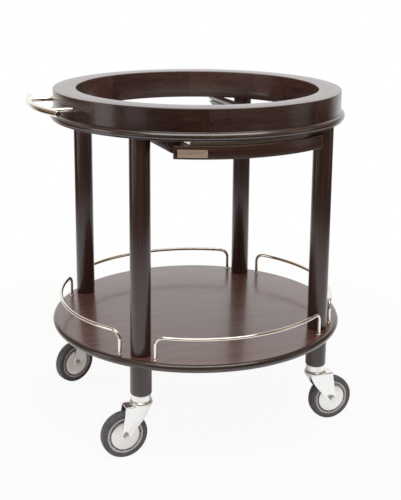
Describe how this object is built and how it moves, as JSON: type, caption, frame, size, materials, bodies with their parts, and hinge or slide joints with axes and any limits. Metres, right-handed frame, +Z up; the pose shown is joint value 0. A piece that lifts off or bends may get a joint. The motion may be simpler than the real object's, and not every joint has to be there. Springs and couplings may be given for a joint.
{
  "type": "room service table",
  "caption": "Round wooden room service table on swivel casters, with an open ring top, a lower shelf with gallery rails, a push handle and a pull-out tray.",
  "frame": {"origin": "middle of the footprint on the floor: halfway between the push handle's outside and the shelf's far edge, and on the line through the ring's axis", "axes": "+Z up; -Y the front, where the tray pulls out; -X the side with the push handle"},
  "size_m": [0.734, 0.684, 0.772],
  "materials": {
    "dark_wood": "dark brown stained hardwood under a satin lacquer, with a fine straight grain",
    "polished_nickel": "polished nickel plate, slightly warm",
    "zinc_steel": "bright zinc plated pressed steel",
    "bright_steel": "pressed sheet steel, bright",
    "fastener_steel": "plain bright steel",
    "stainless_sheet": "satin stainless sheet",
    "plate_metal": "satin warm nickel plate",
    "grey_plastic": "moulded grey plastic, matte",
    "grey_rubber": "dark grey non-marking rubber, matte"
  },
  "bodies": {
    "table": {"ring_wall": "dark_wood", "ring_moulding": "dark_wood", "ring_studs": "fastener_steel", "shelf": "dark_wood", "shelf_studs": "fastener_steel", "gallery_ferrules": "polished_nickel", "gallery_rail_front": "polished_nickel", "gallery_rail_right": "polished_nickel", "gallery_rail_rear": "polished_nickel", "gallery_rail_left": "polished_nickel", "handle_bar": "polished_nickel", "handle_stubs": "polished_nickel", "tray_rail_left": "dark_wood", "tray_rail_right": "dark_wood", "rail_screws": "fastener_steel", "tray_stops": "fastener_steel", "post_front_left": "dark_wood", "leg_front_left": "dark_wood", "caster_stem_front_left": "zinc_steel", "swivel_race_front_left": "zinc_steel", "post_front_right": "dark_wood", "leg_front_right": "dark_wood", "caster_stem_front_right": "zinc_steel", "swivel_race_front_right": "zinc_steel", "post_rear_left": "dark_wood", "leg_rear_left": "dark_wood", "caster_stem_rear_left": "zinc_steel", "swivel_race_rear_left": "zinc_steel", "post_rear_right": "dark_wood", "leg_rear_right": "dark_wood", "caster_stem_rear_right": "zinc_steel", "swivel_race_rear_right": "zinc_steel"},
    "tray": {"tray_board": "dark_wood", "tray_pan": "stainless_sheet", "tray_screws": "fastener_steel", "front_plate": "plate_metal", "plate_screws": "plate_metal"},
    "swivel_front_left": {"caster_fork_front_left": "zinc_steel", "axle_bolt_front_left": "fastener_steel", "thread_guards_front_left": "bright_steel"},
    "wheel_front_left": {"wheel_hub_front_left": "grey_plastic", "tyre_front_left": "grey_rubber"},
    "swivel_front_right": {"caster_fork_front_right": "zinc_steel", "axle_bolt_front_right": "fastener_steel", "thread_guards_front_right": "bright_steel"},
    "wheel_front_right": {"wheel_hub_front_right": "grey_plastic", "tyre_front_right": "grey_rubber"},
    "swivel_rear_left": {"caster_fork_rear_left": "zinc_steel", "axle_bolt_rear_left": "fastener_steel", "thread_guards_rear_left": "bright_steel"},
    "wheel_rear_left": {"wheel_hub_rear_left": "grey_plastic", "tyre_rear_left": "grey_rubber"},
    "swivel_rear_right": {"caster_fork_rear_right": "zinc_steel", "axle_bolt_rear_right": "fastener_steel", "thread_guards_rear_right": "bright_steel"},
    "wheel_rear_right": {"wheel_hub_rear_right": "grey_plastic", "tyre_rear_right": "grey_rubber"}
  },
  "joints": [
    {"name": "tray_slide", "type": "slide", "parent": "table", "child": "tray", "axis": [0, -1, 0], "range_m": [0, 0.3]},
    {"name": "swivel_front_left", "type": "hinge", "parent": "table", "child": "swivel_front_left", "pos_m": [-0.18925, -0.21425, 0.118], "axis": [0, 0, 1], "continuous": true},
    {"name": "roll_front_left", "type": "hinge", "parent": "swivel_front_left", "child": "wheel_front_left", "pos_m": [-0.22924, -0.21509, 0.052], "axis": [0.0209, -0.9998, 0], "continuous": true},
    {"name": "swivel_front_right", "type": "hinge", "parent": "table", "child": "swivel_front_right", "pos_m": [0.23925, -0.21425, 0.118], "axis": [0, 0, 1], "continuous": true},
    {"name": "roll_front_right", "type": "hinge", "parent": "swivel_front_right", "child": "wheel_front_right", "pos_m": [0.27924, -0.21523, 0.052], "axis": [0.0244, 0.9997, 0], "continuous": true},
    {"name": "swivel_rear_left", "type": "hinge", "parent": "table", "child": "swivel_rear_left", "pos_m": [-0.18925, 0.21425, 0.118], "axis": [0, 0, 1], "continuous": true},
    {"name": "roll_rear_left", "type": "hinge", "parent": "swivel_rear_left", "child": "wheel_rear_left", "pos_m": [-0.22674, 0.20031, 0.052], "axis": [0.3486, -0.9373, 0], "continuous": true},
    {"name": "swivel_rear_right", "type": "hinge", "parent": "table", "child": "swivel_rear_right", "pos_m": [0.23925, 0.21425, 0.118], "axis": [0, 0, 1], "continuous": true},
    {"name": "roll_rear_right", "type": "hinge", "parent": "swivel_rear_right", "child": "wheel_rear_right", "pos_m": [0.27318, 0.23545, 0.052], "axis": [-0.5299, 0.848, 0], "continuous": true}
  ]
}
